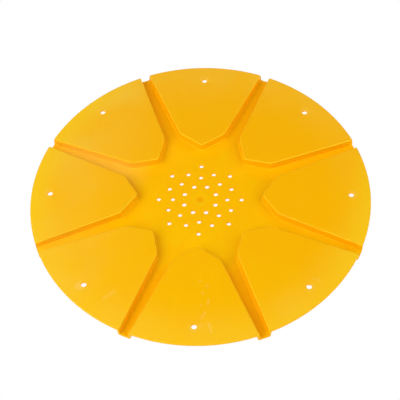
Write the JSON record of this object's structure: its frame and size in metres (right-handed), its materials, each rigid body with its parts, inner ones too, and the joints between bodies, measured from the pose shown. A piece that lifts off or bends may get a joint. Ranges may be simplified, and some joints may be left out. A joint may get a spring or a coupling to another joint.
{
  "type": "bee escape disc",
  "caption": "Round plastic bee escape: a star-shaped perforated basin opens into shallow tapering channels that run between raised flat panels to the rim.",
  "frame": {"origin": "on the disc's axis at the underside of the central floor", "axes": "+Z along the axis, up out of the open side of the channels; +X along channel 1"},
  "size_m": [0.32, 0.32, 0.0106],
  "materials": {
    "yellow_plastic": "satin, slightly translucent"
  },
  "bodies": {
    "root": {"centre_basin": "yellow_plastic", "channel_1": "yellow_plastic", "channel_2": "yellow_plastic", "channel_3": "yellow_plastic", "channel_4": "yellow_plastic", "channel_5": "yellow_plastic", "channel_6": "yellow_plastic", "channel_7": "yellow_plastic", "channel_8": "yellow_plastic", "panel_1": "yellow_plastic", "panel_2": "yellow_plastic", "panel_3": "yellow_plastic", "panel_4": "yellow_plastic", "panel_5": "yellow_plastic", "panel_6": "yellow_plastic", "panel_7": "yellow_plastic", "panel_8": "yellow_plastic"}
  },
  "joints": []
}
